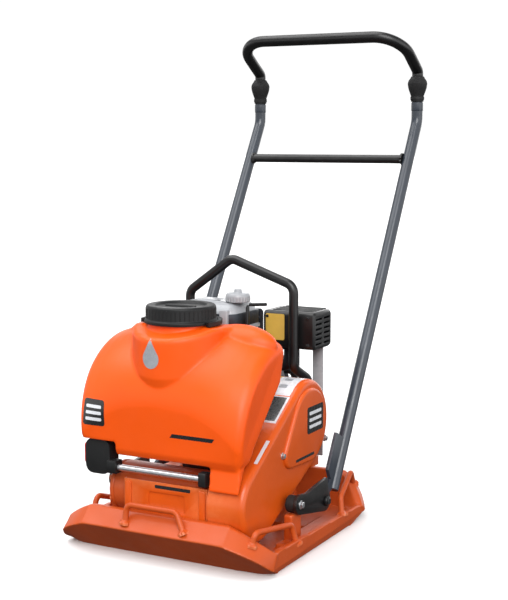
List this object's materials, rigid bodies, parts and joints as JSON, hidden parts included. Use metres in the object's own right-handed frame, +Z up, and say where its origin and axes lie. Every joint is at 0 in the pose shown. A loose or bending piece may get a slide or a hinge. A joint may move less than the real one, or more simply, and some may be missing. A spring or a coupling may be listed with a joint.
{
  "type": "plate compactor",
  "caption": "Forward plate compactor with a tray-shaped base plate, front water tank, belt-driven exciter, small engine and a folding operator handle.",
  "frame": {"origin": "middle of the flat sole of the base plate, on the ground", "axes": "+Z up; -Y is the direction of travel, where the water tank is; +Y is the operator side, where the handle is; +X is the belt-guard side"},
  "size_m": [0.5, 0.9105, 1.1069],
  "materials": {
    "cast_orange": "orange enamel on a cast and welded base, scuffed at its edges",
    "sheet_orange": "orange powder coat on folded sheet steel",
    "tank_orange": "self-coloured orange rotomoulded polyethylene, slightly waxy",
    "black_plastic": "black moulded plastic with a fine grain",
    "black_paint": "satin black paint on steel",
    "grey_paint": "dark slate-grey paint on steel tube",
    "rubber": "matt black rubber",
    "bright_steel": "machined or zinc-plated steel",
    "cast_alloy": "bare die-cast aluminium",
    "dark_alloy": "dark heat-resistant coating",
    "engine_grey": "light grey moulded shroud",
    "tank_grey": "light grey fuel tank, glossy",
    "red_plastic": "red moulded plastic"
  },
  "bodies": {
    "machine": {"air_cleaner": "black_plastic", "base_plate": "cast_orange", "belt_guard": "sheet_orange", "belt_guard_back": "sheet_orange", "carburettor": "cast_alloy", "cylinder_head_cover": "dark_alloy", "drive_belt": "rubber", "engine_bed": "sheet_orange", "engine_crankcase": "cast_alloy", "engine_cylinder": "cast_alloy", "exciter_bearing_left": "bright_steel", "exciter_bearing_right": "bright_steel", "exciter_case": "cast_orange", "exciter_cover": "cast_orange", "front_panel": "sheet_orange", "fuel_tank": "tank_grey", "grab_rod_front": "cast_orange", "grab_rod_front_left": "cast_orange", "grab_rod_front_right": "cast_orange", "grab_rod_rear_left": "cast_orange", "grab_rod_rear_right": "cast_orange", "handle_bracket_left": "black_paint", "handle_bracket_right": "black_paint", "handle_damper_left": "rubber", "handle_damper_right": "rubber", "lifting_bar": "black_paint", "pivot_bolt_left": "bright_steel", "pivot_bolt_right": "bright_steel", "recoil_cover": "engine_grey", "rubber_mount_front_left": "rubber", "rubber_mount_front_right": "rubber", "rubber_mount_rear_left": "rubber", "rubber_mount_rear_right": "rubber", "silencer": "dark_alloy", "silencer_guard": "black_paint", "spark_plug_cap": "rubber", "sprinkler_clip": "black_plastic", "sprinkler_tube": "bright_steel", "water_cock_block": "black_plastic", "water_tank": "tank_orange"},
    "exciter_rotor": {"exciter_shaft": "bright_steel", "eccentric_weight": "bright_steel", "exciter_pulley": "cast_alloy"},
    "engine_rotor": {"crankshaft": "bright_steel", "clutch_pulley": "cast_alloy"},
    "recoil_pull": {"recoil_grip": "black_plastic"},
    "fuel_filler": {"fuel_cap": "bright_steel"},
    "throttle": {"throttle_lever": "black_paint"},
    "choke": {"choke_lever": "black_plastic"},
    "fuel_tap": {"fuel_tap_lever": "black_plastic"},
    "switch": {"engine_switch": "red_plastic"},
    "oil_filler": {"oil_filler_cap": "black_plastic"},
    "water_filler": {"tank_cap": "black_plastic"},
    "water_cock": {"water_cock_lever": "red_plastic"},
    "handle": {"handle_tube_left": "grey_paint", "handle_tube_right": "grey_paint", "handle_crossbar": "black_paint", "vibration_isolator_left": "rubber", "vibration_isolator_right": "rubber", "grip_loop": "black_paint"}
  },
  "joints": [
    {"name": "handle_fold", "type": "hinge", "parent": "machine", "child": "handle", "pos_m": [0, 0.052, 0.081], "axis": [1, 0, 0], "range_deg": [0, 100]},
    {"name": "exciter_spin", "type": "hinge", "parent": "machine", "child": "exciter_rotor", "pos_m": [0, -0.17, 0.125], "axis": [1, 0, 0], "continuous": true},
    {"name": "crank_spin", "type": "hinge", "parent": "machine", "child": "engine_rotor", "pos_m": [0, 0.05, 0.247], "axis": [1, 0, 0], "continuous": true},
    {"name": "recoil_slide", "type": "slide", "parent": "machine", "child": "recoil_pull", "axis": [0, 0, 1], "range_m": [0, 0.45], "stiffness_N_per_m": 60, "springref_m": -0.02},
    {"name": "fuel_cap_turn", "type": "hinge", "parent": "machine", "child": "fuel_filler", "pos_m": [0.045, 0, 0.507], "axis": [0, 0, 1], "range_deg": [0, 90]},
    {"name": "throttle_turn", "type": "hinge", "parent": "machine", "child": "throttle", "pos_m": [0.074, -0.01, 0.385], "axis": [1, 0, 0], "range_deg": [-30, 0]},
    {"name": "choke_turn", "type": "hinge", "parent": "machine", "child": "choke", "pos_m": [-0.0643, 0.146, 0.3774], "axis": [1, 0, 0], "range_deg": [-40, 0]},
    {"name": "fuel_tap_turn", "type": "hinge", "parent": "machine", "child": "fuel_tap", "pos_m": [-0.0735, 0.03, 0.385], "axis": [1, 0, 0], "range_deg": [-60, 0]},
    {"name": "switch_turn", "type": "hinge", "parent": "machine", "child": "switch", "pos_m": [-0.042, -0.0553, 0.175], "axis": [0, 1, 0], "range_deg": [0, 45]},
    {"name": "oil_cap_turn", "type": "hinge", "parent": "machine", "child": "oil_filler", "pos_m": [0.03, -0.046, 0.175], "axis": [0, -1, 0], "range_deg": [0, 360]},
    {"name": "tank_cap_lift", "type": "slide", "parent": "machine", "child": "water_filler", "axis": [0, 0, 1], "range_m": [0, 0.12]},
    {"name": "water_cock_turn", "type": "hinge", "parent": "machine", "child": "water_cock", "pos_m": [-0.183, -0.226, 0.214], "axis": [1, 0, 0], "range_deg": [-80, 0]}
  ],
  "couplings": [
    {"joint": "crank_spin", "follows": "exciter_spin", "ratio": 0.6}
  ]
}
